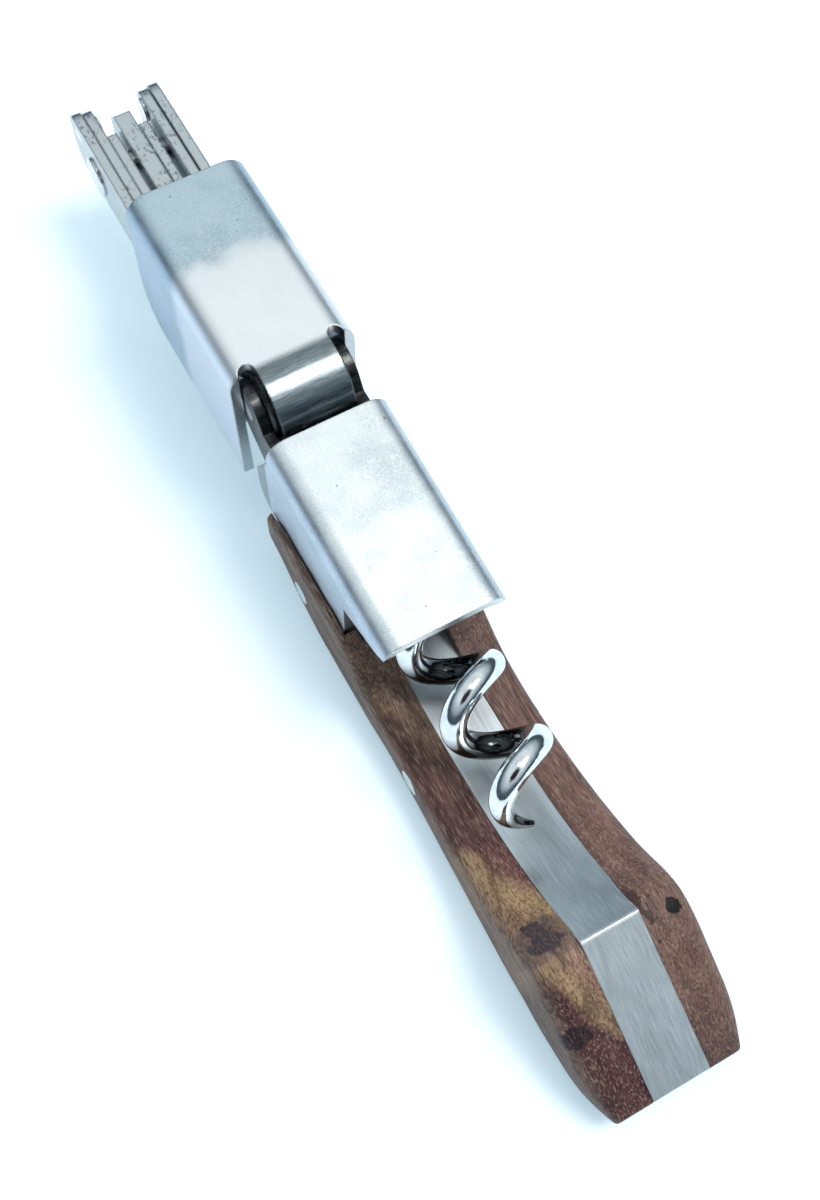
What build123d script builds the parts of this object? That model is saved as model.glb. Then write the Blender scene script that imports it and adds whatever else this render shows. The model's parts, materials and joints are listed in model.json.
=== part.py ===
from build123d import *
import os
from math import atan2, cos, radians, sin

# Pocket lever corkscrew with a sliding rack foot, folded shut and lying on its handle.
# +X runs along the tool from the foot to the butt of the handle, +Y across it, +Z up.
# The origin is on the surface that the handle lies on, under the lever pivot. Millimetres.

# Lever pivot, which joins the carriage to the handle
PIVOT_Z = 5.6
PIVOT_RADIUS = 1.4
RUNNING_GAP = 0.05

# Handle: a steel spine between two wooden scales
SPINE_WIDTH = 6.4
SPINE_FRONT = -5.0
TIP_X = -7.8
BUTT_X = 63.9
RIDGE_X = 48.9
RIDGE_Z = 15.0
BED_Z = 7.9
BED_LOW_Z = 7.4
BUTT_TOP_Z = 6.4
BUTT_LOW_Z = 3.4
SCALE_REACH = 8.5
SCALE_FRONT_REACH = 7.95
EAR_TOP_Z = 12.5
RIVET_X = 24.6
RIVET_Z = 4.2
RIVET_RADIUS = 1.45

# Scale cross-sections from front to butt: x, reach, top z, bottom z, upper and lower edge radius
SCALE_STATIONS = (
    (TIP_X, 7.85, 11.6, 6.6, 0.9, 1.2),
    (-5.0, 7.9, EAR_TOP_Z - 0.1, 4.3, 1.4, 1.8),
    (0.0, SCALE_FRONT_REACH, EAR_TOP_Z, 1.7, 1.6, 2.2),
    (4.0, SCALE_FRONT_REACH, EAR_TOP_Z + 0.1, 0.4, 1.6, 2.5),
    (8.5, SCALE_FRONT_REACH, EAR_TOP_Z - 0.1, 0.0, 1.6, 2.6),
    (12.0, SCALE_FRONT_REACH, 10.6, 0.0, 1.8, 2.6),
    (15.5, SCALE_FRONT_REACH, 8.6, 0.0, 2.0, 2.6),
    (20.0, 7.85, 7.7, 0.0, 2.1, 2.6),
    (27.0, 7.95, 7.3, 0.0, 2.1, 2.6),
    (35.0, 8.2, 8.1, 0.0, 2.1, 2.6),
    (42.0, 8.4, 10.5, 0.0, 2.2, 2.6),
    (46.0, SCALE_REACH, 13.0, 0.0, 2.2, 2.6),
    (RIDGE_X, SCALE_REACH, RIDGE_Z - 0.5, 0.0, 2.2, 2.6),
    (51.6, 8.55, 13.4, 0.1, 2.2, 2.6),
    (55.5, 8.55, 11.1, 0.5, 2.2, 2.5),
    (60.0, 8.3, 8.5, 1.7, 2.1, 2.2),
    (BUTT_X, 7.1, 6.2, BUTT_LOW_Z, 1.3, 1.2),
)
SCALE_SECTION_COUNT = 28

# Slot in each scale for the carriage's ears, and the pocket inside it
SLOT_INNER = 5.77
SLOT_OUTER = 7.18
SLOT_END_X = 9.4
SLOT_FLOOR_Z = 1.6
POCKET_END_X = 4.4
POCKET_TOP_END_X = 10.6

# Foil blade in the underside of the spine
BLADE_THICKNESS = 1.4
BLADE_PIVOT = (56.4, 4.6)
BLADE_PIN_RADIUS = 1.0
BLADE_SLOT_WIDTH = 1.9

# Carriage: a sheet-steel cover over the worm, with ears down to the lever pivot
SHEET = 1.15
COVER_WIDTH = 14.1
COVER_FAR_X = -7.4
COVER_NEAR_X = 17.5
COVER_FAR_Z = 24.7
COVER_NEAR_Z = 22.7
COVER_BEND = 2.3
EAR_RADIUS = 3.3

# Hinge between the carriage and the rack housing
HINGE_X = -14.0
HINGE_Z = 22.1
TONGUE_OUTER = 5.7
TONGUE_INNER = 4.55
TONGUE_WIDTH = 8.4
TONGUE_WRAP = 190.0
BARREL_RADIUS = 4.4
HINGE_PIN_RADIUS = 1.2
CHEEK_OUTER = 5.9
CHEEK_THICKNESS = 1.2
CHEEK_END_RADIUS = 3.3

# Worm
WORM_Z = 16.3
WORM_OUTER_RADIUS = 4.75
WIRE_RADIUS = 1.4
WORM_PITCH = 9.1
WORM_RIGHT_X = 20.9
WORM_TURNS = 3.22
LEAD_TURNS = 0.62
TAPER_LENGTH = 9.0
POINT_RADIUS = 0.3
SHANK_START_X = -5.0
BLOCK_END_X = -0.5
BLOCK_START_X = -6.5
BLOCK_LOW_Z = 14.0
BLOCK_TOP_Z = 20.4

# Rack housing: a deep sheet-steel channel, open below
HOUSING_WIDTH = 14.4
HOUSING_FAR_X = -40.4
HOUSING_NEAR_X = -14.6
HOUSING_TOP_Z = HINGE_Z + TONGUE_OUTER
HOUSING_LOW_Z = 9.5
HOUSING_BEND = 2.6
NOTCH_RADIUS = 0.92

# Racks, foot plates and the parts riveted between them
TIP_FAR_X = -63.4
RACK_END_X = -18.2
RACK_LOW_Z = 12.2
RACK_TOP_Z = 20.0
RACK_OUTER = 5.55
PLATE = 1.2
PLATE_GAP = 0.1
FOOT_PLATE_END_X = -43.4
TIP_RIVET = (-61.0, 17.7)
TIP_RIVET_RADIUS = 1.0
FOOT_PIN = (-56.4, 15.2)
FOOT_PIN_RADIUS = 1.5
FOOT_HEAD_RADIUS = 2.4
FIRST_VALLEY_X = -41.0
TOOTH_PITCH = 2.5
TOOTH_DEPTH = 1.1
SPACER = (-20.0, 15.0)
SPACER_RADIUS = 0.7
GUIDE_X = -38.6
GUIDE_Z = 16.2
GUIDE_PIN_RADIUS = 0.85
GUIDE_LENGTH = 3.2
RACK_TRAVEL = 16.0

# Lip rest between the foot plates, and the fixed lifter in its middle
LIP_OUTER = 2.65
LIP_PLATE = 1.2
LIP_TOP_Z = 17.9
LIP_LOW_Z = 12.2
LIP_FAR_X = -60.4
LIP_NEAR_X = -41.6
LIFTER_HALF = 1.05
LIFTER_FAR_X = -61.9
LIFTER_NEAR_X = -44.2

# Drive pawl on the nose of the handle
PAWL_INNER = 3.35
PAWL_OUTER = 5.5
PAWL_FRONT_X = -7.7


def side_sketch_plane(high_y):
    """Plane seen from the front, standing at the larger of a plate's two y values."""
    return Plane.XZ.offset(-high_y)


def save(piece, name):
    """Label a finished piece and write it as its own file."""
    piece.part.label = name
    export_step(piece.part, f"parts/{name}.step")


def across_pin(name, x, z, radius, half_length, head_radius=0.0, head_depth=0.0):
    """Straight pin across the tool, with an optional flat head on each end."""
    with BuildPart() as pin:
        with BuildSketch(side_sketch_plane(half_length)):
            with Locations((x, z)):
                Circle(radius)
        extrude(amount=2 * half_length)
        if head_radius > 0:
            for low_y in (-half_length - head_depth, half_length):
                with BuildSketch(side_sketch_plane(low_y + head_depth)):
                    with Locations((x, z)):
                        Circle(head_radius)
                extrude(amount=head_depth)
            outer_rims = pin.edges().filter_by(GeomType.CIRCLE).group_by(Axis.Y)
            fillet(outer_rims[0] + outer_rims[-1], head_depth * 0.6)
    save(pin, name)


def channel(plane, length, width, depth, bend):
    """Bent sheet channel, web up and open below, drawn on the plane of its far end."""
    with BuildPart() as sheet:
        with BuildSketch(plane):
            with Locations((0, -depth / 2)):
                outside = Rectangle(width, depth)
            fillet(outside.vertices().group_by(Axis.Y)[-1], bend)
            with Locations((0, -SHEET - depth / 2)):
                Rectangle(width - 2 * SHEET, depth, mode=Mode.SUBTRACT)
        extrude(amount=length)
        inside_corners = (
            sheet.edges()
            .filter_by(lambda edge: abs(abs(edge.center().Y) - (width / 2 - SHEET)) < 0.01)
            .filter_by(lambda edge: edge.length > 0.9 * length)
            .group_by(Axis.Z)[-1]
        )
        fillet(inside_corners, bend - SHEET)
    return sheet


# ---------------------------------------------------------------- handle

def spine_outline():
    """Side outline of the handle's steel spine: flat bed, ridge, sloping butt, flat base."""
    with BuildSketch() as outline:
        with BuildLine():
            Polyline((0, 0), (SPINE_FRONT + 1.0, 0))
            Line((SPINE_FRONT + 1.0, 0), (SPINE_FRONT, 1.0))
            Line((SPINE_FRONT, 1.0), (SPINE_FRONT, BED_Z - 1.2))
            Line((SPINE_FRONT, BED_Z - 1.2), (SPINE_FRONT + 1.2, BED_Z))
            Line((SPINE_FRONT + 1.2, BED_Z), (8.0, BED_Z))
            Spline(
                (8.0, BED_Z),
                (25.0, BED_LOW_Z),
                (36.5, 8.6),
                (RIDGE_X, RIDGE_Z),
                tangents=((1, 0), (cos(radians(38)), sin(radians(38)))),
            )
            Line((RIDGE_X, RIDGE_Z), (BUTT_X, BUTT_TOP_Z))
            Line((BUTT_X, BUTT_TOP_Z), (BUTT_X, BUTT_LOW_Z))
            Spline((BUTT_X, BUTT_LOW_Z), (50.0, 0), tangents=((-0.8, -0.5), (-1, 0)))
            Line((50.0, 0), (0, 0))
        make_face()
    return outline.sketch


def make_handle_spine():
    """Steel bar of the handle, slotted from below for the foil blade."""
    pivot_x, pivot_z = BLADE_PIVOT
    with BuildPart() as spine:
        with BuildSketch(side_sketch_plane(SPINE_WIDTH / 2)):
            add(spine_outline())
            with Locations((0, PIVOT_Z)):
                Circle(PIVOT_RADIUS, mode=Mode.SUBTRACT)
            with Locations((RIVET_X, RIVET_Z)):
                Circle(RIVET_RADIUS, mode=Mode.SUBTRACT)
        extrude(amount=SPINE_WIDTH)
        with BuildSketch(side_sketch_plane(BLADE_SLOT_WIDTH / 2)):
            with BuildLine():
                Polyline(
                    (RIVET_X + RIVET_RADIUS + 1.2, -1.0),
                    (RIVET_X + RIVET_RADIUS + 1.2, 6.0),
                    (40.0, 6.2),
                    (50.0, 7.6),
                    (pivot_x, pivot_z + 3.3),
                    (61.0, 7.0),
                    (BUTT_X + 1.0, BUTT_LOW_Z + 0.9),
                    (BUTT_X + 1.0, -1.0),
                    close=True,
                )
            make_face()
        extrude(amount=BLADE_SLOT_WIDTH, mode=Mode.SUBTRACT)
        with BuildSketch(side_sketch_plane(SPINE_WIDTH / 2 - 1.0)):
            with Locations((pivot_x, pivot_z)):
                Circle(BLADE_PIN_RADIUS)
        extrude(amount=SPINE_WIDTH - 2.0, mode=Mode.SUBTRACT)
    save(spine, "handle_spine")


def section_at(x):
    """Smoothly interpolated scale measurements at x."""
    stations = SCALE_STATIONS
    last = len(stations) - 1
    index = max(i for i in range(last) if stations[i][0] <= x)
    start, end = stations[index], stations[index + 1]
    step = end[0] - start[0]
    share = (x - start[0]) / step
    values = []
    for column in range(1, len(start)):
        rise = end[column] - start[column]
        start_slope = end_slope = rise / step
        if index > 0:
            before = stations[index - 1]
            start_slope = (end[column] - before[column]) / (end[0] - before[0])
        if index + 1 < last:
            after = stations[index + 2]
            end_slope = (after[column] - start[column]) / (after[0] - start[0])
        values.append(
            start[column]
            + start_slope * step * share * (1 - share) ** 2
            + rise * share ** 2 * (3 - 2 * share)
            - end_slope * step * share ** 2 * (1 - share)
        )
    return values


def scale_section(side, x):
    """Cross-section of a wooden scale, flat inside and rounded along both outer edges."""
    reach, top_z, low_z, top_radius, low_radius = section_at(x)
    inner = SPINE_WIDTH / 2
    with BuildSketch(Plane.YZ.offset(x)) as section:
        with BuildLine():
            Line((side * inner, low_z), (side * inner, top_z))
            Line((side * inner, top_z), (side * (reach - top_radius), top_z))
            RadiusArc(
                (side * (reach - top_radius), top_z),
                (side * reach, top_z - top_radius),
                side * top_radius,
            )
            Line((side * reach, top_z - top_radius), (side * reach, low_z + low_radius))
            RadiusArc(
                (side * reach, low_z + low_radius),
                (side * (reach - low_radius), low_z),
                side * low_radius,
            )
            Line((side * (reach - low_radius), low_z), (side * inner, low_z))
        make_face()
    return section.sketch


def make_scale(side, name):
    """One wooden scale, cut away inside for the drive pawl and slotted for the ears."""
    spine_face = SPINE_WIDTH / 2
    with BuildPart() as scale:
        spacing = (BUTT_X - TIP_X) / (SCALE_SECTION_COUNT - 1)
        for index in range(SCALE_SECTION_COUNT):
            add(scale_section(side, TIP_X + spacing * index))
        loft()
        with BuildSketch(Plane.XY):
            Rectangle(200, 40)
        extrude(amount=-5, mode=Mode.SUBTRACT)
        front_rim = scale.faces().sort_by(Axis.X)[0].edges().sort_by(Axis.Y)
        fillet(front_rim[1:] if side > 0 else front_rim[:-1], 0.4)
        butt_rim = scale.faces().sort_by(Axis.X)[-1].edges().sort_by(Axis.Y)
        fillet(butt_rim[1:] if side > 0 else butt_rim[:-1], 0.6)
        slot_high = SLOT_OUTER if side > 0 else -SLOT_INNER
        with BuildSketch(side_sketch_plane(slot_high)):
            with BuildLine():
                Polyline(
                    (TIP_X - 2, -1),
                    (-2.5, -1),
                    (-2.5, SLOT_FLOOR_Z),
                    (SLOT_END_X, SLOT_FLOOR_Z),
                    (SLOT_END_X, 30),
                    (TIP_X - 2, 30),
                    close=True,
                )
            make_face()
        extrude(amount=SLOT_OUTER - SLOT_INNER, mode=Mode.SUBTRACT)
        pocket_high = SLOT_INNER if side > 0 else -spine_face
        with BuildSketch(side_sketch_plane(pocket_high)):
            with BuildLine():
                Polyline(
                    (TIP_X - 2, -1),
                    (POCKET_END_X, -1),
                    (POCKET_END_X, BED_Z),
                    (POCKET_TOP_END_X, BED_Z),
                    (POCKET_TOP_END_X, 30),
                    (TIP_X - 2, 30),
                    close=True,
                )
            make_face()
        extrude(amount=SLOT_INNER - spine_face, mode=Mode.SUBTRACT)
        hole_high = SCALE_REACH + 1 if side > 0 else -spine_face
        with BuildSketch(side_sketch_plane(hole_high)):
            with Locations((0, PIVOT_Z)):
                Circle(PIVOT_RADIUS)
            with Locations((RIVET_X, RIVET_Z)):
                Circle(RIVET_RADIUS)
        extrude(amount=SCALE_REACH + 1 - spine_face, mode=Mode.SUBTRACT)
    save(scale, name)


def make_drive_pawl():
    """Yoke on the lever pivot: two arms and a toothed bridge across the handle's nose."""
    with BuildPart() as pawl:
        for high_y in (PAWL_OUTER, -PAWL_INNER):
            with BuildSketch(side_sketch_plane(high_y)):
                with Locations((0, PIVOT_Z)):
                    Circle(3.2)
                with BuildLine():
                    Polyline(
                        (0, PIVOT_Z - 1.6),
                        (PAWL_FRONT_X + 0.6, PIVOT_Z - 1.4),
                        (PAWL_FRONT_X, PIVOT_Z - 0.6),
                        (PAWL_FRONT_X, PIVOT_Z + 0.4),
                        (PAWL_FRONT_X + 1.1, PIVOT_Z + 1.4),
                        (0, PIVOT_Z + 1.8),
                        close=True,
                    )
                make_face()
                with Locations((0, PIVOT_Z)):
                    Circle(PIVOT_RADIUS + RUNNING_GAP, mode=Mode.SUBTRACT)
            extrude(amount=PAWL_OUTER - PAWL_INNER)
        with BuildSketch(side_sketch_plane(PAWL_INNER)):
            with BuildLine():
                Polyline(
                    (PAWL_FRONT_X + 0.6, PIVOT_Z - 1.4),
                    (PAWL_FRONT_X, PIVOT_Z - 0.6),
                    (PAWL_FRONT_X, PIVOT_Z + 0.4),
                    (PAWL_FRONT_X + 1.1, PIVOT_Z + 1.4),
                    (PAWL_FRONT_X + 1.4, PIVOT_Z + 1.4),
                    (PAWL_FRONT_X + 1.4, PIVOT_Z - 1.4),
                    close=True,
                )
            make_face()
        extrude(amount=2 * PAWL_INNER)
    save(pawl, "drive_pawl")


def make_foil_blade():
    """Curved foil knife with a serrated lower edge, folded into the spine."""
    pivot_x, pivot_z = BLADE_PIVOT
    serration_count = 12
    with BuildPart() as blade:
        with BuildSketch(side_sketch_plane(BLADE_THICKNESS / 2)):
            with Locations((pivot_x, pivot_z)):
                Circle(2.9)
            with BuildLine():
                Spline(
                    (RIVET_X + 3.6, 2.6),
                    (36.0, 5.2),
                    (46.0, 6.2),
                    (pivot_x - 1.0, pivot_z + 2.7),
                    tangents=((0.7, 1), (1, 0)),
                )
                Line((pivot_x - 1.0, pivot_z + 2.7), (pivot_x - 1.0, pivot_z - 2.7))
                Line((pivot_x - 1.0, pivot_z - 2.7), (pivot_x - 5.0, 1.0))
                Line((pivot_x - 5.0, 1.0), (RIVET_X + 6.0, 0.9))
                Line((RIVET_X + 6.0, 0.9), (RIVET_X + 3.6, 2.6))
            make_face()
            for index in range(serration_count):
                with Locations((RIVET_X + 7.5 + 1.5 * index, 0.7)):
                    Circle(0.55, mode=Mode.SUBTRACT)
            with Locations((pivot_x, pivot_z)):
                Circle(BLADE_PIN_RADIUS + RUNNING_GAP, mode=Mode.SUBTRACT)
        extrude(amount=BLADE_THICKNESS)
    save(blade, "foil_blade")


def make_blade_spring():
    """Thin leaf under the slot's ceiling, which holds the foil blade shut."""
    with BuildPart() as spring:
        with BuildSketch(side_sketch_plane(BLADE_THICKNESS / 2)):
            with BuildLine():
                Polyline(
                    (RIVET_X + RIVET_RADIUS + 1.2, 5.35),
                    (RIVET_X + RIVET_RADIUS + 1.2, 6.0),
                    (36.0, 6.12),
                    (36.0, 5.6),
                    close=True,
                )
            make_face()
        extrude(amount=BLADE_THICKNESS)
    save(spring, "blade_spring")


# ---------------------------------------------------------------- carriage

def cover_outline():
    """Side outline of the carriage cover: shallow over the worm, with a deep ear at the back."""
    with BuildSketch() as outline:
        with BuildLine():
            Polyline(
                (COVER_FAR_X, 30),
                (COVER_FAR_X, 21.6),
                (-10.4, 16.8),
                (-10.4, 11.0),
                (-4.0, 11.0),
                (-2.9, PIVOT_Z + 1.5),
                (0, PIVOT_Z),
                (2.6, PIVOT_Z - 2.0),
                (9.0, 11.0),
                (9.1, 17.7),
                (COVER_NEAR_X, 21.2),
                (COVER_NEAR_X, 30),
                close=True,
            )
        make_face()
    return outline.sketch


def make_carriage_cover():
    """Sheet cover over the worm, bent to a channel, with an ear each side on the pivot."""
    drop = COVER_FAR_Z - COVER_NEAR_Z
    slope = atan2(drop, COVER_NEAR_X - COVER_FAR_X)
    far_plane = Plane(
        origin=(COVER_FAR_X - 5.0, 0, COVER_FAR_Z + 5.0 * drop / (COVER_NEAR_X - COVER_FAR_X)),
        x_dir=(0, 1, 0),
        z_dir=(cos(slope), 0, -sin(slope)),
    )
    sheet = channel(far_plane, 32.0, COVER_WIDTH, 26.0, COVER_BEND)
    with BuildPart() as cover:
        add(sheet.part)
        with BuildSketch(side_sketch_plane(10)) as profile:
            add(cover_outline())
            sharp_corner = profile.vertices().filter_by(
                lambda corner: abs(corner.Y - 11.0) < 0.01 and corner.X < -9
            )
            fillet(sharp_corner, 2.6)
            with Locations((0, PIVOT_Z)):
                Circle(EAR_RADIUS)
            with Locations((0, PIVOT_Z)):
                Circle(PIVOT_RADIUS + RUNNING_GAP, mode=Mode.SUBTRACT)
        extrude(amount=20, mode=Mode.INTERSECT)
    save(cover, "carriage_cover")


def make_hinge_cheek(side, name):
    """Flat plate inside the cover, carrying the worm block and the housing hinge."""
    high_y = CHEEK_OUTER if side > 0 else -(CHEEK_OUTER - CHEEK_THICKNESS)
    with BuildPart() as cheek:
        with BuildSketch(side_sketch_plane(high_y)):
            with Locations((HINGE_X, HINGE_Z)):
                Circle(CHEEK_END_RADIUS)
            with BuildLine():
                Polyline(
                    (HINGE_X - 0.6, HINGE_Z - 3.2),
                    (-8.0, BLOCK_LOW_Z + 0.2),
                    (1.6, BLOCK_LOW_Z + 0.4),
                    (1.6, HINGE_Z + 0.1),
                    (HINGE_X + 3.8, HINGE_Z + 0.1),
                    (HINGE_X + 2.9, HINGE_Z + 1.5),
                    close=True,
                )
            make_face()
            with Locations((HINGE_X, HINGE_Z)):
                Circle(HINGE_PIN_RADIUS, mode=Mode.SUBTRACT)
            with Locations(((BLOCK_START_X + BLOCK_END_X) / 2, WORM_Z + 2.4)):
                Circle(0.9, mode=Mode.SUBTRACT)
        extrude(amount=CHEEK_THICKNESS)
    save(cheek, name)


def make_hinge_barrel():
    """Barrel that the housing's rolled tongue turns on."""
    with BuildPart() as barrel:
        with BuildSketch(side_sketch_plane(CHEEK_OUTER - CHEEK_THICKNESS)):
            with Locations((HINGE_X, HINGE_Z)):
                Circle(BARREL_RADIUS)
                Circle(HINGE_PIN_RADIUS, mode=Mode.SUBTRACT)
        extrude(amount=2 * (CHEEK_OUTER - CHEEK_THICKNESS))
        rims = barrel.edges().filter_by(GeomType.CIRCLE).filter_by(lambda rim: rim.radius > 3)
        chamfer(rims, 0.3)
    save(barrel, "hinge_barrel")


def make_worm_block():
    """Steel block between the cheeks that grips the worm's shank."""
    with BuildPart() as block:
        with BuildSketch(side_sketch_plane(CHEEK_OUTER - CHEEK_THICKNESS)):
            with BuildLine():
                Polyline(
                    (BLOCK_START_X, BLOCK_LOW_Z + 1.0),
                    (BLOCK_START_X + 1.0, BLOCK_LOW_Z),
                    (BLOCK_END_X, BLOCK_LOW_Z),
                    (BLOCK_END_X, BLOCK_TOP_Z),
                    (BLOCK_START_X, BLOCK_TOP_Z),
                    close=True,
                )
            make_face()
            with Locations(((BLOCK_START_X + BLOCK_END_X) / 2, WORM_Z + 2.4)):
                Circle(0.9, mode=Mode.SUBTRACT)
        extrude(amount=2 * (CHEEK_OUTER - CHEEK_THICKNESS))
        with BuildSketch(Plane.YZ.offset(SHANK_START_X)):
            with Locations((0, WORM_Z)):
                Circle(WIRE_RADIUS)
        extrude(amount=BLOCK_END_X - SHANK_START_X + 1, mode=Mode.SUBTRACT)
    save(block, "worm_block")


def worm_point(turns):
    """Point on the worm's centreline, counted in turns from where it reaches full radius."""
    coil_radius = WORM_OUTER_RADIUS - WIRE_RADIUS
    growth = min(1.0, 1.0 + turns / LEAD_TURNS)
    radius = coil_radius * growth * growth * (3 - 2 * growth)
    x = WORM_RIGHT_X + (turns - 1.5) * WORM_PITCH
    angle = radians(360 * turns + 180)
    return Vector(x, radius * cos(angle), WORM_Z + radius * sin(angle))


def make_worm():
    """Right-handed wire worm: straight shank, widening lead-in, full turns, tapered point."""
    shank_end = worm_point(-LEAD_TURNS).X
    shank_marks = [SHANK_START_X + (shank_end - SHANK_START_X) * step / 4 for step in range(5)]
    coil_steps = int((WORM_TURNS + LEAD_TURNS) * 11)
    turn_marks = [
        -LEAD_TURNS + (WORM_TURNS + LEAD_TURNS) * step / coil_steps
        for step in range(1, coil_steps + 1)
    ]
    with BuildLine() as centreline:
        path = Spline(
            *[(x, 0, WORM_Z) for x in shank_marks],
            *[worm_point(turns) for turns in turn_marks],
        )
    taper_share = 1.0 - TAPER_LENGTH / path.length
    coil_path = path.trim(0, taper_share)
    taper_path = path.trim(taper_share, 1)
    with BuildPart() as worm:
        with BuildSketch(Plane(origin=coil_path @ 0, z_dir=coil_path % 0)):
            Circle(WIRE_RADIUS)
        sweep(path=coil_path)
        for share, radius in ((0, WIRE_RADIUS), (0.5, 0.76 * WIRE_RADIUS), (1, POINT_RADIUS)):
            with BuildSketch(Plane(origin=taper_path @ share, z_dir=taper_path % share)):
                Circle(radius)
        sweep(path=taper_path, multisection=True, is_frenet=True)
    save(worm, "worm")


# ---------------------------------------------------------------- rack housing

def housing_outline():
    """Side outline of the housing flanges, with rounded lower corners."""
    with BuildSketch() as outline:
        length = HOUSING_NEAR_X - HOUSING_FAR_X
        depth = 40.0
        with Locations((HOUSING_FAR_X + length / 2, HOUSING_LOW_Z + depth / 2)):
            flank = Rectangle(length, depth)
        low_corners = flank.vertices().group_by(Axis.Y)[0].sort_by(Axis.X)
        fillet(low_corners[0], 4.6)
        fillet(low_corners[-1], 1.5)
    return outline.sketch


def make_rack_housing():
    """Deep channel whose web runs out into a tongue rolled around the hinge barrel."""
    far_plane = Plane(origin=(HOUSING_FAR_X, 0, HOUSING_TOP_Z), x_dir=(0, 1, 0), z_dir=(1, 0, 0))
    shell = channel(
        far_plane,
        HOUSING_NEAR_X - HOUSING_FAR_X,
        HOUSING_WIDTH,
        HOUSING_TOP_Z - HOUSING_LOW_Z,
        HOUSING_BEND,
    )
    with BuildPart() as housing:
        add(shell.part)
        with BuildSketch(side_sketch_plane(10)):
            add(housing_outline())
        extrude(amount=20, mode=Mode.INTERSECT)
        end_angle = 90.0 - TONGUE_WRAP
        tip_radius = (TONGUE_OUTER + TONGUE_INNER) / 2
        with BuildSketch(side_sketch_plane(TONGUE_WIDTH / 2)):
            with BuildLine():
                CenterArc((HINGE_X, HINGE_Z), TONGUE_OUTER, 90, -TONGUE_WRAP)
                Line(
                    polar(TONGUE_OUTER, end_angle),
                    polar(TONGUE_INNER, end_angle),
                )
                CenterArc((HINGE_X, HINGE_Z), TONGUE_INNER, end_angle, TONGUE_WRAP)
                Line(polar(TONGUE_INNER, 90), polar(TONGUE_OUTER, 90))
            make_face()
            with Locations(polar(tip_radius, end_angle)):
                Circle((TONGUE_OUTER - TONGUE_INNER) / 2 - 0.02)
            with Locations((HINGE_X - 0.6, HINGE_Z + tip_radius)):
                Rectangle(1.4, TONGUE_OUTER - TONGUE_INNER)
        extrude(amount=TONGUE_WIDTH)
        notch_y = (TONGUE_WIDTH / 2 + HOUSING_WIDTH / 2 - SHEET) / 2
        with BuildSketch(Plane.XY.offset(HOUSING_TOP_Z - HOUSING_BEND)):
            with Locations((HOUSING_NEAR_X, notch_y), (HOUSING_NEAR_X, -notch_y)):
                Circle(NOTCH_RADIUS)
        extrude(amount=2 * HOUSING_BEND, mode=Mode.SUBTRACT)
    save(housing, "rack_housing")


def polar(radius, angle):
    """Point at a radius and an angle in degrees around the housing hinge, in side view."""
    return (
        HINGE_X + radius * cos(radians(angle)),
        HINGE_Z + radius * sin(radians(angle)),
    )


def make_rack_guide():
    """Block under the housing's web that steadies the racks from the inside."""
    half_width = RACK_OUTER - PLATE - PLATE_GAP * 2 - 0.9
    top_z = HOUSING_TOP_Z - SHEET
    with BuildPart() as guide:
        with BuildSketch(side_sketch_plane(half_width)):
            with Locations((GUIDE_X, (GUIDE_Z - 2.6 + top_z) / 2)):
                body = Rectangle(GUIDE_LENGTH, top_z - GUIDE_Z + 2.6)
            fillet(body.vertices().group_by(Axis.Y)[0], 1.4)
            with Locations((GUIDE_X, GUIDE_Z)):
                Circle(GUIDE_PIN_RADIUS, mode=Mode.SUBTRACT)
        extrude(amount=2 * half_width)
    save(guide, "rack_guide")


# ---------------------------------------------------------------- racks

def rack_outline():
    """Side outline of a rack: hooked round tip, long guide slot, teeth on the lower edge."""
    tooth_count = 10
    with BuildSketch() as outline:
        with BuildLine():
            Spline(
                (TIP_FAR_X + 3.4, RACK_LOW_Z),
                (TIP_FAR_X + 0.5, RACK_LOW_Z + 2.4),
                (TIP_FAR_X + 0.5, RACK_TOP_Z - 1.6),
                (TIP_FAR_X + 3.0, RACK_TOP_Z),
                tangents=((-1, 0), (1, 0)),
            )
            Line((TIP_FAR_X + 3.0, RACK_TOP_Z), (RACK_END_X - 1.0, RACK_TOP_Z))
            Line((RACK_END_X - 1.0, RACK_TOP_Z), (RACK_END_X, RACK_TOP_Z - 1.0))
            Line((RACK_END_X, RACK_TOP_Z - 1.0), (RACK_END_X, RACK_LOW_Z + 1.0))
            Line((RACK_END_X, RACK_LOW_Z + 1.0), (RACK_END_X - 1.0, RACK_LOW_Z))
            Line((RACK_END_X - 1.0, RACK_LOW_Z), (TIP_FAR_X + 3.4, RACK_LOW_Z))
        make_face()
        slot_start = GUIDE_X
        slot_end = GUIDE_X + RACK_TRAVEL + 0.4
        with Locations(((slot_start + slot_end) / 2, GUIDE_Z)):
            SlotCenterToCenter(
                slot_end - slot_start, 2 * (GUIDE_PIN_RADIUS + 0.1), mode=Mode.SUBTRACT
            )
        for index in range(tooth_count):
            valley_x = FIRST_VALLEY_X + TOOTH_PITCH * index
            with BuildLine():
                Polyline(
                    (valley_x - 0.95, RACK_LOW_Z - 0.5),
                    (valley_x - 0.95, RACK_LOW_Z),
                    (valley_x - 0.3, RACK_LOW_Z + TOOTH_DEPTH),
                    (valley_x + 0.3, RACK_LOW_Z + TOOTH_DEPTH),
                    (valley_x + 0.95, RACK_LOW_Z),
                    (valley_x + 0.95, RACK_LOW_Z - 0.5),
                    close=True,
                )
            make_face(mode=Mode.SUBTRACT)
    return outline.sketch


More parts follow.
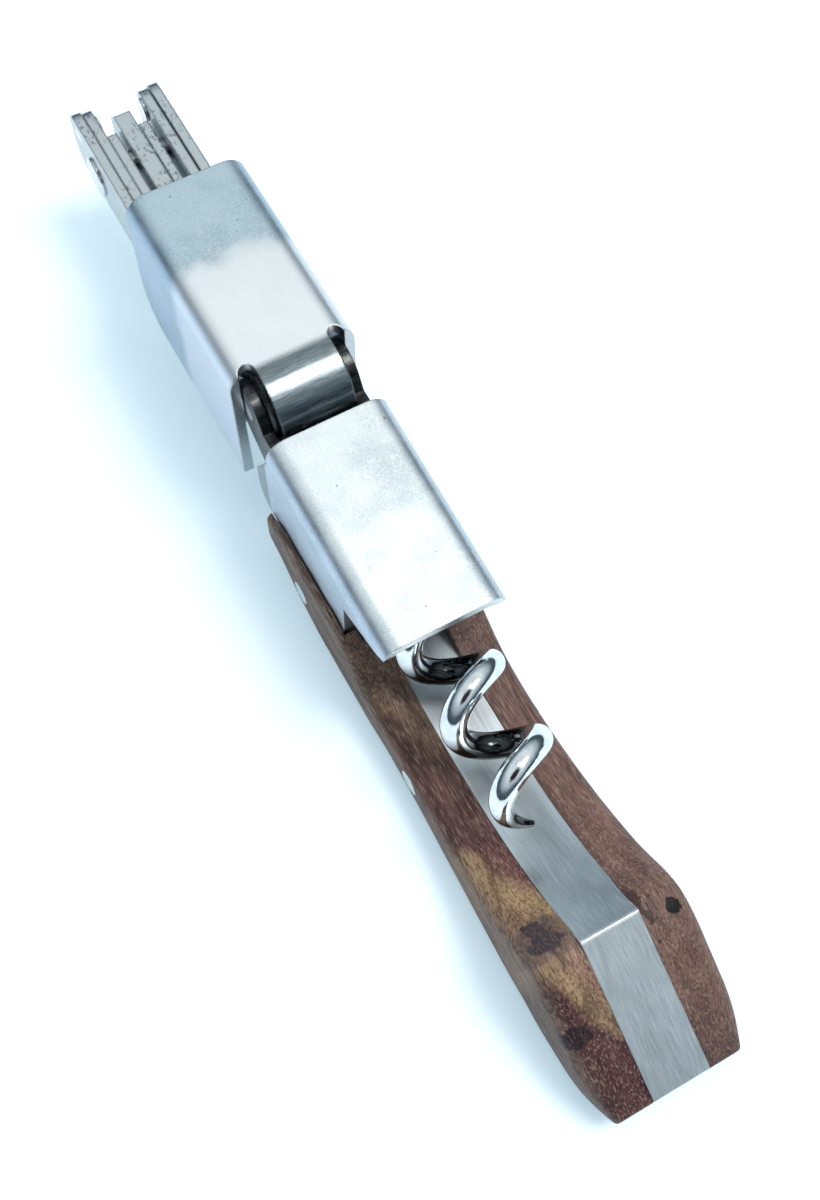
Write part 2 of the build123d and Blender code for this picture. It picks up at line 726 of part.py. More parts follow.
def make_rack(side, name):
    """Toothed rack that slides in the housing, with a cut-out for the inner foot plate."""
    high_y = RACK_OUTER if side > 0 else -(RACK_OUTER - PLATE)
    with BuildPart() as rack:
        with BuildSketch(side_sketch_plane(high_y)):
            add(rack_outline())
            with Locations(FOOT_PIN):
                Circle(FOOT_PIN_RADIUS, mode=Mode.SUBTRACT)
            with Locations(TIP_RIVET):
                Circle(TIP_RIVET_RADIUS, mode=Mode.SUBTRACT)
            with Locations(SPACER):
                Circle(SPACER_RADIUS, mode=Mode.SUBTRACT)
        extrude(amount=PLATE)
    save(rack, name)


def make_foot_plate(side, name):
    """Short plate riveted inside a rack, which doubles its bearing edge on the bottle."""
    outer = RACK_OUTER - PLATE - PLATE_GAP
    high_y = outer if side > 0 else -(outer - PLATE)
    with BuildPart() as plate:
        with BuildSketch(side_sketch_plane(high_y)):
            with BuildLine():
                Spline(
                    (TIP_FAR_X + 3.7, RACK_LOW_Z - 0.2),
                    (TIP_FAR_X + 0.6, RACK_LOW_Z + 2.2),
                    (TIP_FAR_X + 0.6, RACK_TOP_Z - 1.7),
                    (TIP_FAR_X + 3.1, RACK_TOP_Z - 0.3),
                    tangents=((-1, 0), (1, 0)),
                )
                Line((TIP_FAR_X + 3.1, RACK_TOP_Z - 0.3), (FOOT_PLATE_END_X - 2, RACK_TOP_Z - 0.3))
                Line((FOOT_PLATE_END_X - 2, RACK_TOP_Z - 0.3), (FOOT_PLATE_END_X, RACK_TOP_Z - 2.4))
                Line((FOOT_PLATE_END_X, RACK_TOP_Z - 2.4), (FOOT_PLATE_END_X, RACK_LOW_Z - 0.2))
                Line((FOOT_PLATE_END_X, RACK_LOW_Z - 0.2), (TIP_FAR_X + 3.7, RACK_LOW_Z - 0.2))
            make_face()
            with Locations(FOOT_PIN):
                Circle(FOOT_PIN_RADIUS, mode=Mode.SUBTRACT)
            with Locations(TIP_RIVET):
                Circle(TIP_RIVET_RADIUS, mode=Mode.SUBTRACT)
        extrude(amount=PLATE)
    save(plate, name)


def make_tip_rivet(side, name):
    """Small rivet through a rack and its foot plate, with a button head on the inside."""
    x, z = TIP_RIVET
    inner = RACK_OUTER - 2 * PLATE - PLATE_GAP
    high_y = RACK_OUTER if side > 0 else -inner
    with BuildPart() as rivet:
        with BuildSketch(side_sketch_plane(high_y)):
            with Locations((x, z)):
                Circle(TIP_RIVET_RADIUS)
        extrude(amount=RACK_OUTER - inner)
        head_high = inner if side > 0 else -inner + 0.35
        with BuildSketch(side_sketch_plane(head_high)):
            with Locations((x, z)):
                Circle(TIP_RIVET_RADIUS + 0.45)
        extrude(amount=0.35)
        inner_face = rivet.faces().sort_by(Axis.Y)[0 if side > 0 else -1]
        fillet(inner_face.edges(), 0.25)
    save(rivet, name)


def make_cap_lifter():
    """Flat blade fixed in the middle of the foot, with a bevelled tip."""
    with BuildPart() as lifter:
        with BuildSketch(side_sketch_plane(LIFTER_HALF)):
            with BuildLine():
                Polyline(
                    (LIFTER_FAR_X + 1.2, RACK_LOW_Z + 0.4),
                    (LIFTER_FAR_X, RACK_LOW_Z + 1.8),
                    (LIFTER_FAR_X, RACK_TOP_Z - 2.4),
                    (LIFTER_FAR_X + 1.6, RACK_TOP_Z - 0.9),
                    (LIFTER_NEAR_X - 1.5, RACK_TOP_Z - 0.9),
                    (LIFTER_NEAR_X, RACK_TOP_Z - 2.4),
                    (LIFTER_NEAR_X, RACK_LOW_Z + 0.4),
                    close=True,
                )
            make_face()
            with Locations(FOOT_PIN):
                Circle(FOOT_PIN_RADIUS, mode=Mode.SUBTRACT)
        extrude(amount=2 * LIFTER_HALF)
        tip_edges = lifter.edges().filter_by(Axis.Z).group_by(Axis.X)[0]
        chamfer(tip_edges, 0.35)
    save(lifter, "cap_lifter")


def make_lip_rest():
    """Folded plate between the foot plates: two sides and a sole, swinging on the foot pin."""
    foot_x, foot_z = FOOT_PIN
    with BuildPart() as lip:
        for high_y in (LIP_OUTER, -(LIP_OUTER - LIP_PLATE)):
            with BuildSketch(side_sketch_plane(high_y)):
                with BuildLine():
                    Polyline(
                        (LIP_FAR_X + 1.6, LIP_LOW_Z + 1.2),
                        (LIP_FAR_X, LIP_LOW_Z + 2.8),
                        (LIP_FAR_X, LIP_TOP_Z - 1.6),
                        (LIP_FAR_X + 1.4, LIP_TOP_Z),
                        (LIP_NEAR_X - 1.4, LIP_TOP_Z),
                        (LIP_NEAR_X, LIP_TOP_Z - 1.4),
                        (LIP_NEAR_X, LIP_LOW_Z),
                        (LIP_NEAR_X - 5.0, LIP_LOW_Z),
                        close=True,
                    )
                make_face()
                with Locations((foot_x, foot_z)):
                    Circle(FOOT_PIN_RADIUS + RUNNING_GAP, mode=Mode.SUBTRACT)
            extrude(amount=LIP_PLATE)
        with BuildSketch(Plane.XY.offset(LIP_LOW_Z)):
            with Locations((LIP_NEAR_X - 0.6, 0)):
                Rectangle(1.2, 2 * LIP_OUTER)
        extrude(amount=3.6)
    save(lip, "lip_rest")


# ---------------------------------------------------------------- build

os.makedirs("parts", exist_ok=True)

make_handle_spine()
make_scale(-1, "scale_left")
make_scale(1, "scale_right")
across_pin("lever_pivot_pin", 0, PIVOT_Z, PIVOT_RADIUS, SCALE_FRONT_REACH)
across_pin("scale_rivet", RIVET_X, RIVET_Z, RIVET_RADIUS, SCALE_FRONT_REACH - 0.05)
across_pin("blade_pin", BLADE_PIVOT[0], BLADE_PIVOT[1], BLADE_PIN_RADIUS, SPINE_WIDTH / 2 - 1.0)
make_blade_spring()
make_foil_blade()
make_drive_pawl()

make_carriage_cover()
make_hinge_cheek(-1, "hinge_cheek_left")
make_hinge_cheek(1, "hinge_cheek_right")
make_hinge_barrel()
across_pin("hinge_pin", HINGE_X, HINGE_Z, HINGE_PIN_RADIUS, CHEEK_OUTER)
make_worm_block()
make_worm()
across_pin(
    "worm_pin",
    (BLOCK_START_X + BLOCK_END_X) / 2,
    WORM_Z + 2.4,
    0.9,
    CHEEK_OUTER,
)

make_rack_housing()
make_rack_guide()
across_pin("guide_pin", GUIDE_X, GUIDE_Z, GUIDE_PIN_RADIUS, HOUSING_WIDTH / 2 - SHEET)

make_rack(-1, "rack_left")
make_rack(1, "rack_right")
make_foot_plate(-1, "foot_plate_left")
make_foot_plate(1, "foot_plate_right")
make_tip_rivet(-1, "tip_rivet_left")
make_tip_rivet(1, "tip_rivet_right")
across_pin(
    "foot_pin",
    FOOT_PIN[0],
    FOOT_PIN[1],
    FOOT_PIN_RADIUS,
    RACK_OUTER,
    head_radius=FOOT_HEAD_RADIUS,
    head_depth=0.4,
)
across_pin("rack_spacer", SPACER[0], SPACER[1], SPACER_RADIUS, RACK_OUTER)
make_cap_lifter()
make_lip_rest()
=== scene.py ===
import json
from math import cos, radians, sin

import bpy
from mathutils import Matrix, Vector

# Looks, light and camera for the folded lever corkscrew. Metres, in the frame of the CAD part:
# +X from the foot to the butt of the handle, +Z up, the floor at z = 0.

MM = 0.001

# Camera: what it looks at, and from where
VIEW_TARGET = Vector((9.82, 0.37, 13.49)) * MM
VIEW_DISTANCE = 150 * MM
VIEW_AZIMUTH = radians(-30.06)
VIEW_ELEVATION = radians(64.74)
VIEW_ROLL = radians(1.12)
SENSOR_HEIGHT = 36.0
LENS = 43.08

# The room: a dark shape that leans over the tool and shows in the worm, between the angles from
# its middle where it is full and where it has faded out
ROOM_STRENGTH = 0.92
DARK_SHAPE_DIRECTION = Vector((0.43, -0.20, 0.88)).normalized()
DARK_SHAPE_FULL = radians(13)
DARK_SHAPE_GONE = radians(24)
DARK_SHAPE_COLOUR = (0.030, 0.022, 0.028, 1)

# The floor, lifted towards white
FLOOR_HALF_SIZE = 1.6
PAPER_COLOUR = (0.86, 0.88, 0.90, 1)
LIFT_COLOUR = (0.56, 0.84, 1.0, 1)
LIFT_STRENGTH = 0.42

# Places on the handle where the wood is marked
KNOT = Vector((46.6, -5.7, 13.2)) * MM
BURR = Vector((55.6, -7.3, 10.8)) * MM
PIT = Vector((50.0, 6.5, 14.0)) * MM
CRACK = Vector((48.5, 3.7, 13.9)) * MM
SCALE_START = -7.8 * MM
SCALE_LENGTH = 71.7 * MM
RIDGE_X = 48.9 * MM

# Where the left scale's top rounds over into its flank
FLANK_START_Y = -7.2 * MM
FLANK_FULL_Y = -8.2 * MM

# Stretch of the spine under the worm's point, across which painted light fades: the spine is
# painted brighter before it and duller past it
SPINE_BRIGHT_X = 22 * MM
SPINE_DULL_X = 36 * MM

# Height of the worm's axis, below which the worm is painted dark as shade
WORM_AXIS_Z = 16.3 * MM

# Where the far half of the housing's web, painted in shade, gives way to the near half with a
# painted highlight
PAINTED_HIGHLIGHT_START_X = -25.5 * MM

# The rolled tongue of the housing, which is polished and painted dark as shade: where the polish
# and shade start and are full, and the hinge, past which the sheet belongs to the other casing
TONGUE_START_X = -15.2 * MM
TONGUE_FULL_X = -14.0 * MM
TONGUE_END_X = -8.0 * MM

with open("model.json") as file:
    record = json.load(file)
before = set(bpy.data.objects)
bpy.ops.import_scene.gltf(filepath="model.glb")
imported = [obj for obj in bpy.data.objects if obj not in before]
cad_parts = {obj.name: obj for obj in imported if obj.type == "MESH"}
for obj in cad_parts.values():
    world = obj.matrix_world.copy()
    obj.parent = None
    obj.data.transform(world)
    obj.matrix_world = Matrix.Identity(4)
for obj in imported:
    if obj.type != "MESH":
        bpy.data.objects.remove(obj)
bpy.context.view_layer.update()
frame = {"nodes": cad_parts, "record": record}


class Tree:
    """The node tree of a material or a world, emptied and built up from short calls."""

    def __init__(self, owner):
        owner.use_nodes = True
        self.tree = owner.node_tree
        self.tree.nodes.clear()

    def feed(self, socket, value):
        """Link a socket to another node's output, or set its value."""
        if isinstance(value, bpy.types.NodeSocket):
            self.tree.links.new(value, socket)
        else:
            socket.default_value = value

    def node(self, kind, inputs, **settings):
        """A node with settings, and a dictionary of inputs by name or number."""
        made = self.tree.nodes.new("ShaderNode" + kind)
        for name, value in settings.items():
            setattr(made, name, value)
        for key, value in inputs.items():
            self.feed(made.inputs[key], value)
        return made

    def range(self, value, low, high, start=0.0, end=1.0):
        """Smoothly map a value from low..high to start..end."""
        inputs = {0: value, 1: low, 2: high, 3: start, 4: end}
        return self.node("MapRange", inputs, interpolation_type="SMOOTHSTEP").outputs[0]

    def math(self, operation, first, second=0.0, third=0.0):
        inputs = {0: first, 1: second, 2: third}
        return self.node("Math", inputs, operation=operation).outputs[0]

    def mix(self, share, below, above, how="MIX"):
        """Mix two colours by a share."""
        inputs = {0: share, 6: below, 7: above}
        return self.node("Mix", inputs, data_type="RGBA", blend_type=how).outputs[2]

    def between(self, share, below, above):
        """Mix two numbers by a share."""
        return self.node("Mix", {0: share, 2: below, 3: above}, data_type="FLOAT").outputs[0]

    def ramp(self, value, stops):
        """Colour ramp with stops of (position, colour)."""
        made = self.node("ValToRGB", {0: value})
        elements = made.color_ramp.elements
        while len(elements) < len(stops):
            elements.new(0.5)
        for element, (position, colour) in zip(elements, stops):
            element.position = position
            element.color = colour
        return made.outputs[0]

    def axis(self, vector, name):
        return self.node("SeparateXYZ", {0: vector}).outputs[name]


class Finish(Tree):
    """A material around one main shader, built on object coordinates."""

    def __init__(self, name):
        self.material = bpy.data.materials.new(name)
        super().__init__(self.material)
        self.shader = self.node("BsdfPrincipled", {})
        self.node("OutputMaterial", {0: self.shader.outputs[0]})
        coordinates = self.node("TexCoord", {})
        self.place = coordinates.outputs["Object"]
        self.facing = coordinates.outputs["Normal"]

    def set(self, **inputs):
        """Feed the main shader's inputs, with underscores for spaces in their names."""
        for name, value in inputs.items():
            self.feed(self.shader.inputs[name.replace("_", " ")], value)

    def stretched(self, along_x, along_y, along_z, turn=(0, 0, 0), shift=(0, 0, 0)):
        """Object coordinates with so many noise cells per metre along each axis."""
        inputs = {
            "Vector": self.place,
            "Location": shift,
            "Rotation": turn,
            "Scale": (along_x, along_y, along_z),
        }
        return self.node("Mapping", inputs).outputs[0]

    def noise(self, vector, scale=1.0, detail=3.0, roughness=0.5, distortion=0.0):
        inputs = {
            "Vector": vector,
            "Scale": scale,
            "Detail": detail,
            "Roughness": roughness,
            "Distortion": distortion,
        }
        return self.node("TexNoise", inputs).outputs[0]

    def near(self, place, radii, ragged, ragged_scale):
        """1 at a place and 0 outside an ellipsoid around it, with a ragged edge."""
        offset = self.node(
            "VectorMath", {0: self.place, 1: place}, operation="SUBTRACT"
        ).outputs[0]
        inverse = tuple(1 / radius for radius in radii)
        scaled = self.node("VectorMath", {0: offset, 1: inverse}, operation="MULTIPLY").outputs[0]
        distance = self.node("VectorMath", {0: scaled}, operation="LENGTH").outputs["Value"]
        edge = self.noise(self.place, scale=ragged_scale, detail=4.0, roughness=0.6)
        raised = self.math("MULTIPLY_ADD", edge, ragged, -ragged / 2)
        return self.range(self.math("ADD", distance, raised), 1.0, 0.75)

    def soft_edges(self, radius):
        """Normals rounded over sharp edges, as a light break of the edge would."""
        return self.node("Bevel", {"Radius": radius}, samples=4).outputs[0]

    def relief(self, height, depth, strength, normal=None):
        inputs = {"Height": height, "Distance": depth, "Strength": strength}
        if normal is not None:
            inputs["Normal"] = normal
        return self.node("Bump", inputs).outputs[0]


def grey(level, blue=0.0):
    """A neutral or slightly blue linear colour."""
    return (level * (1 - blue), level * (1 - 0.35 * blue), level, 1)


# ---------------------------------------------------------------- materials

def brushed_steel():
    """Handle spine: steel brushed lengthwise, painted in different tones on its two slopes and
    brighter under the worm as painted light, with a painted highlight line on the ridge.
    """
    finish = Finish("spine_steel")
    lines = finish.noise(finish.stretched(90, 11000, 900), detail=4.0, roughness=0.65)
    long_lines = finish.noise(finish.stretched(25, 3200, 300), detail=3.0, roughness=0.6)
    clouds = finish.noise(finish.stretched(160, 260, 200), detail=2.0)
    along = finish.axis(finish.place, "X")
    # Painted light: the two slopes on either side of the ridge are painted in different tones.
    past_ridge = finish.range(along, RIDGE_X - 0.2 * MM, RIDGE_X + 0.2 * MM)
    base = finish.mix(past_ridge, grey(0.66, 0.20), grey(0.58, 0.14))
    # Painted light: the spine is painted brighter under the worm, fading out past the worm's
    # point.
    base = finish.mix(
        finish.range(along, SPINE_BRIGHT_X, SPINE_DULL_X, 1.0, 0.0), base, grey(0.66, 0.12)
    )
    streaked = finish.mix(finish.range(lines, 0.3, 0.75), base, grey(0.78, 0.03), "OVERLAY")
    streaked = finish.mix(
        finish.range(long_lines, 0.45, 0.8, 0.0, 0.35), streaked, grey(0.85, 0.04)
    )
    colour = finish.mix(finish.range(clouds, 0.35, 0.7, 0.0, 0.25), streaked, grey(0.33, 0.12))
    # Painted highlight: a thin white line along the ridge.
    from_ridge = finish.math("ABSOLUTE", finish.math("SUBTRACT", along, RIDGE_X))
    ridge_painted_highlight = finish.range(from_ridge, 0.34 * MM, 0.12 * MM)
    colour = finish.mix(ridge_painted_highlight, colour, grey(1.0))
    roughness = finish.range(lines, 0.25, 0.8, 0.30, 0.46)
    bevel = finish.soft_edges(0.16 * MM)
    normal = finish.relief(lines, 0.006 * MM, 0.55, bevel)
    finish.set(Base_Color=colour, Metallic=1.0, Roughness=roughness, Normal=normal)
    return finish.material


def wood_base(finish, zones, depth):
    """Zones of colour, with bands, fibres, flecks and pores that the depth makes stronger."""
    slant = (0, radians(4), radians(8))
    fibres = finish.noise(
        finish.stretched(300, 5200, 4300, turn=slant), detail=5.0, roughness=0.66
    )
    bands = finish.noise(
        finish.stretched(55, 620, 480, turn=slant), detail=4.0, roughness=0.6, distortion=0.7
    )
    pores = finish.noise(
        finish.stretched(620, 7500, 6200, turn=slant, shift=(3, 1, 2)), detail=2.0
    )
    flecks = finish.noise(
        finish.stretched(560, 5600, 4800, turn=slant, shift=(7, 4, 9)), detail=3.0
    )
    dark = finish.mix(depth, zones, (0.020, 0.006, 0.008, 1))
    pale = finish.mix(depth - 0.17, zones, (0.60, 0.44, 0.34, 1))
    colour = finish.mix(finish.range(bands, 0.46, 0.66, 0.0, 0.75), zones, dark)
    colour = finish.mix(finish.range(bands, 0.42, 0.26, 0.0, 0.55), colour, pale)
    colour = finish.mix(finish.range(fibres, 0.34, 0.57, 0.90, 0.0), colour, dark)
    colour = finish.mix(finish.range(flecks, 0.50, 0.72, 0.0, 0.60), colour, pale)
    colour = finish.mix(
        finish.range(pores, 0.63, 0.70, 0.0, 0.80), colour, (0.020, 0.010, 0.010, 1)
    )
    height = finish.math("SUBTRACT", fibres, finish.range(pores, 0.61, 0.70, 0.0, 0.8))
    return colour, height, fibres


def finish_wood(finish, colour, height, fibres):
    """Close a wooden material: satin oil finish over the open grain."""
    bevel = finish.soft_edges(0.25 * MM)
    finish.set(
        Base_Color=colour,
        Roughness=finish.range(fibres, 0.3, 0.7, 0.62, 0.46),
        Normal=finish.relief(height, 0.03 * MM, 0.6, bevel),
        Specular_IOR_Level=0.25,
    )
    return finish.material


def zone_value(finish, lean, wander, shift=0.0):
    """Position along a scale, 0 at the nose and 1 at the butt, leaning and wandering."""
    drift = finish.noise(finish.place, scale=170.0, detail=3.0, roughness=0.55)
    along = finish.axis(finish.place, "X")
    leaned = finish.math("MULTIPLY_ADD", finish.axis(finish.place, "Y"), lean, along)
    drifted = finish.math("MULTIPLY_ADD", drift, wander, leaned)
    start = SCALE_START + wander / 2 + shift
    return finish.math("MULTIPLY_ADD", drifted, 1 / SCALE_LENGTH, -start / SCALE_LENGTH)


def left_wood():
    """Left scale: figured wood, brown to golden, with a knot, a burr and a purple butt."""
    finish = Finish("scale_wood_left")
    zones = finish.ramp(
        zone_value(finish, -1.6, 9 * MM, 9.7 * MM),
        (
            (0.00, (0.300, 0.220, 0.180, 1)),
            (0.22, (0.205, 0.135, 0.100, 1)),
            (0.36, (0.200, 0.120, 0.078, 1)),
            (0.46, (0.170, 0.085, 0.072, 1)),
            (0.60, (0.165, 0.070, 0.068, 1)),
            (0.65, (0.440, 0.300, 0.160, 1)),
            (0.71, (0.360, 0.215, 0.130, 1)),
            (0.78, (0.270, 0.150, 0.105, 1)),
            (0.83, (0.430, 0.285, 0.155, 1)),
            (0.87, (0.085, 0.030, 0.036, 1)),
            (1.00, (0.095, 0.038, 0.037, 1)),
        ),
    )
    flank = finish.range(finish.axis(finish.place, "Y"), FLANK_START_Y, FLANK_FULL_Y, 0.0, 0.55)
    zones = finish.mix(flank, zones, (0.235, 0.165, 0.130, 1))
    colour, height, fibres = wood_base(finish, zones, 0.80)
    broken = finish.range(fibres, 0.62, 0.46)
    knot = finish.near(KNOT, (1.9 * MM, 1.9 * MM, 3.0 * MM), 3.0, 480.0)
    knot = finish.math("MULTIPLY", knot, finish.between(broken, 0.55, 1.0))
    colour = finish.mix(knot, colour, (0.012, 0.012, 0.022, 1))
    halo = finish.near(KNOT, (3.3 * MM, 3.2 * MM, 4.0 * MM), 2.2, 420.0)
    colour = finish.mix(finish.math("MULTIPLY", halo, 0.5), colour, (0.085, 0.065, 0.07, 1))
    burr = finish.near(BURR, (1.1 * MM, 1.8 * MM, 3.0 * MM), 3.0, 620.0)
    burr = finish.math("MULTIPLY", burr, finish.between(broken, 0.45, 1.0))
    colour = finish.mix(burr, colour, (0.016, 0.009, 0.014, 1))
    return finish_wood(finish, colour, height, fibres)


def right_wood():
    """Right scale: even reddish brown, with a small open pit and a crack by the spine."""
    finish = Finish("scale_wood_right")
    zones = finish.ramp(
        zone_value(finish, -0.5, 7 * MM),
        (
            (0.00, (0.200, 0.125, 0.105, 1)),
            (0.35, (0.175, 0.096, 0.080, 1)),
            (0.62, (0.235, 0.135, 0.110, 1)),
            (0.84, (0.215, 0.125, 0.102, 1)),
            (1.00, (0.095, 0.054, 0.049, 1)),
        ),
    )
    colour, height, fibres = wood_base(finish, zones, 0.64)
    pit = finish.near(PIT, (0.95 * MM, 0.75 * MM, 1.8 * MM), 2.4, 1100.0)
    colour = finish.mix(pit, colour, (0.006, 0.005, 0.004, 1))
    crack = finish.near(CRACK, (3.0 * MM, 0.8 * MM, 1.6 * MM), 3.0, 600.0)
    colour = finish.mix(finish.math("MULTIPLY", crack, 0.8), colour, (0.04, 0.018, 0.020, 1))
    height = finish.math("SUBTRACT", height, finish.math("MULTIPLY", pit, 12.0))
    return finish_wood(finish, colour, height, fibres)


def blasted_casing():
    """Sheet casings: mottled blasted steel, with painted shade on the far half of the housing's
    web, a painted highlight on its near half by the hinge, painted shade on the flanks, and a
    polished tongue painted dark as shade.
    """
    finish = Finish("casing_steel")
    grains = finish.noise(finish.place, scale=5200.0, detail=3.0, roughness=0.75)
    mottling = finish.noise(finish.place, scale=420.0, detail=5.0, roughness=0.7)
    patches = finish.noise(finish.place, scale=90.0, detail=3.0, roughness=0.6)
    marks = finish.noise(finish.place, scale=1500.0, detail=1.0)
    drawn = finish.noise(finish.stretched(5200, 420, 1500), detail=3.0, roughness=0.6)
    colour = finish.mix(finish.range(grains, 0.30, 0.70), grey(0.60, 0.14), grey(0.94, 0.05))
    colour = finish.mix(finish.range(mottling, 0.38, 0.66, 0.0, 0.5), colour, grey(0.66, 0.20))
    colour = finish.mix(finish.range(patches, 0.40, 0.62, 0.0, 0.55), colour, grey(0.92, 0.05))
    colour = finish.mix(finish.range(marks, 0.76, 0.80, 0.0, 0.7), colour, grey(0.20, 0.1))
    along = finish.axis(finish.place, "X")
    # Painted light: the housing's web is painted darker and bluer on its far half as shade, and
    # whiter on its near half as a highlight.
    ragged = finish.math("MULTIPLY_ADD", patches, 9 * MM, along)
    highlight_reach = finish.range(ragged, PAINTED_HIGHLIGHT_START_X, PAINTED_HIGHLIGHT_START_X + 3 * MM)
    on_housing = finish.range(along, TONGUE_START_X + 2 * MM, TONGUE_START_X)
    painted_highlight = finish.math("MULTIPLY", highlight_reach, on_housing)
    painted_shade = finish.math("MULTIPLY", finish.math("SUBTRACT", 1.0, highlight_reach), on_housing)
    colour = finish.mix(painted_shade, colour, (0.76, 0.86, 0.91, 1), "MULTIPLY")
    colour = finish.mix(finish.math("MULTIPLY", painted_highlight, 0.85), colour, grey(1.0))
    # Painted shade: the casings' sideways-facing flanks are painted darker and bluer than their
    # webs.
    sideways = finish.math("ABSOLUTE", finish.axis(finish.facing, "Y"))
    flank = finish.range(sideways, 0.45, 0.90)
    colour = finish.mix(flank, colour, (0.66, 0.71, 0.80, 1), "MULTIPLY")
    polished = finish.math(
        "MULTIPLY",
        finish.range(along, TONGUE_START_X, TONGUE_FULL_X),
        finish.range(along, TONGUE_END_X + 0.1 * MM, TONGUE_END_X - 0.1 * MM),
    )
    # Painted shade: the rolled tongue, curving down away from the light, is painted much darker
    # than the rest of the sheet.
    rolled = finish.mix(finish.range(drawn, 0.3, 0.7), grey(0.20, 0.24), grey(0.30, 0.18))
    colour = finish.mix(polished, colour, rolled)
    satin = finish.range(patches, 0.35, 0.65, 0.34, 0.41)
    drawn_roughness = finish.range(drawn, 0.3, 0.75, 0.20, 0.30)
    roughness = finish.between(polished, satin, drawn_roughness)
    height = finish.between(polished, grains, finish.math("MULTIPLY", drawn, 0.10))
    normal = finish.relief(height, 0.014 * MM, 0.6, finish.soft_edges(0.22 * MM))
    finish.set(Base_Color=colour, Metallic=1.0, Roughness=roughness, Normal=normal)
    return finish.material


def polished_wire():
    """Worm: polished wire with slight waves and fine scratches, painted dark on its under side as
    shade.
    """
    finish = Finish("worm_chrome")
    waves = finish.noise(finish.place, scale=420.0, detail=2.0, roughness=0.45)
    scratches = finish.noise(finish.stretched(5200, 900, 900), detail=4.0, roughness=0.7)
    smears = finish.noise(finish.place, scale=900.0, detail=3.0)
    colour = finish.mix(finish.range(smears, 0.3, 0.7), grey(0.70, 0.08), grey(0.84, 0.05))
    # Painted shade: the under side of the wire, below its axis, is painted near black.
    upper = finish.range(
        finish.axis(finish.place, "Z"), WORM_AXIS_Z - 1.5 * MM, WORM_AXIS_Z + 1.2 * MM
    )
    colour = finish.mix(upper, grey(0.05, 0.10), colour)
    roughness = finish.range(scratches, 0.3, 0.8, 0.07, 0.18)
    normal = finish.relief(waves, 0.05 * MM, 0.35)
    normal = finish.relief(scratches, 0.003 * MM, 0.25, normal)
    finish.set(Base_Color=colour, Metallic=1.0, Roughness=roughness, Normal=normal)
    return finish.material


def stamped_plate():
    """Racks, foot plates and lifter: rolled faces, and torn bright shear marks on the edges."""
    finish = Finish("rack_steel")
    sideways = finish.math("ABSOLUTE", finish.axis(finish.facing, "Y"))
    edge = finish.range(sideways, 0.75, 0.45)
    tears = finish.noise(
        finish.stretched(1500, 2600, 1500), detail=4.0, roughness=0.6, distortion=0.3
    )
    torn_zone = finish.range(finish.noise(finish.place, scale=300.0, detail=1.0), 0.44, 0.56)
    torn = finish.math("MULTIPLY", finish.range(tears, 0.52, 0.64), torn_zone)
    rolled = finish.noise(finish.stretched(300, 2500, 2600), detail=3.0, roughness=0.6)
    face = finish.mix(finish.range(rolled, 0.35, 0.7), grey(0.46, 0.14), grey(0.66, 0.08))
    shear = finish.mix(torn, grey(0.66, 0.08), grey(0.34, 0.14))
    colour = finish.mix(edge, face, shear)
    rough_edge = finish.between(torn, 0.17, 0.42)
    roughness = finish.between(edge, finish.range(rolled, 0.3, 0.7, 0.26, 0.36), rough_edge)
    height = finish.between(edge, finish.math("MULTIPLY", rolled, 0.2), tears)
    normal = finish.relief(height, 0.04 * MM, 0.35, finish.soft_edges(0.38 * MM))
    finish.set(Base_Color=colour, Metallic=1.0, Roughness=roughness, Normal=normal)
    return finish.material


def shade_darkened_steel():
    """Hidden inner parts: machined steel with a trace of oil, painted near black as shade where
    they sit inside the casings.
    """
    finish = Finish("inner_steel")
    turned = finish.noise(finish.stretched(3500, 700, 3500), detail=3.0, roughness=0.6)
    stains = finish.noise(finish.place, scale=500.0, detail=4.0, roughness=0.6)
    # Painted shade: the inner parts' steel is painted near black.
    colour = finish.mix(finish.range(turned, 0.3, 0.7), grey(0.025, 0.10), grey(0.075, 0.08))
    colour = finish.mix(
        finish.range(stains, 0.5, 0.7, 0.0, 0.6), colour, (0.018, 0.016, 0.014, 1)
    )
    roughness = finish.range(stains, 0.35, 0.7, 0.38, 0.24)
    normal = finish.relief(turned, 0.01 * MM, 0.4, finish.soft_edges(0.15 * MM))
    finish.set(Base_Color=colour, Metallic=1.0, Roughness=roughness, Normal=normal)
    return finish.material


def pin_steel():
    """Pins and rivets: turned bright steel, ground flush, with fine cross scratches."""
    finish = Finish("pin_steel")
    ground = finish.noise(finish.stretched(900, 6000, 7000), detail=4.0, roughness=0.65)
    colour = finish.mix(finish.range(ground, 0.3, 0.7), grey(0.58, 0.06), grey(0.84, 0.03))
    roughness = finish.range(ground, 0.3, 0.75, 0.18, 0.32)
    normal = finish.relief(ground, 0.004 * MM, 0.4, finish.soft_edges(0.12 * MM))
    finish.set(Base_Color=colour, Metallic=1.0, Roughness=roughness, Normal=normal)
    return finish.material


def ground_blade():
    """Foil blade: flat ground across its length, with a few stains."""
    finish = Finish("blade_steel")
    grinding = finish.noise(finish.stretched(7000, 900, 500), detail=4.0, roughness=0.7)
    stains = finish.noise(finish.place, scale=350.0, detail=4.0)
    colour = finish.mix(finish.range(grinding, 0.3, 0.75), grey(0.44, 0.06), grey(0.70, 0.03))
    colour = finish.mix(
        finish.range(stains, 0.58, 0.75, 0.0, 0.4), colour, (0.22, 0.19, 0.17, 1)
    )
    roughness = finish.range(grinding, 0.3, 0.7, 0.22, 0.36)
    normal = finish.relief(grinding, 0.005 * MM, 0.5, finish.soft_edges(0.12 * MM))
    finish.set(Base_Color=colour, Metallic=1.0, Roughness=roughness, Normal=normal)
    return finish.material


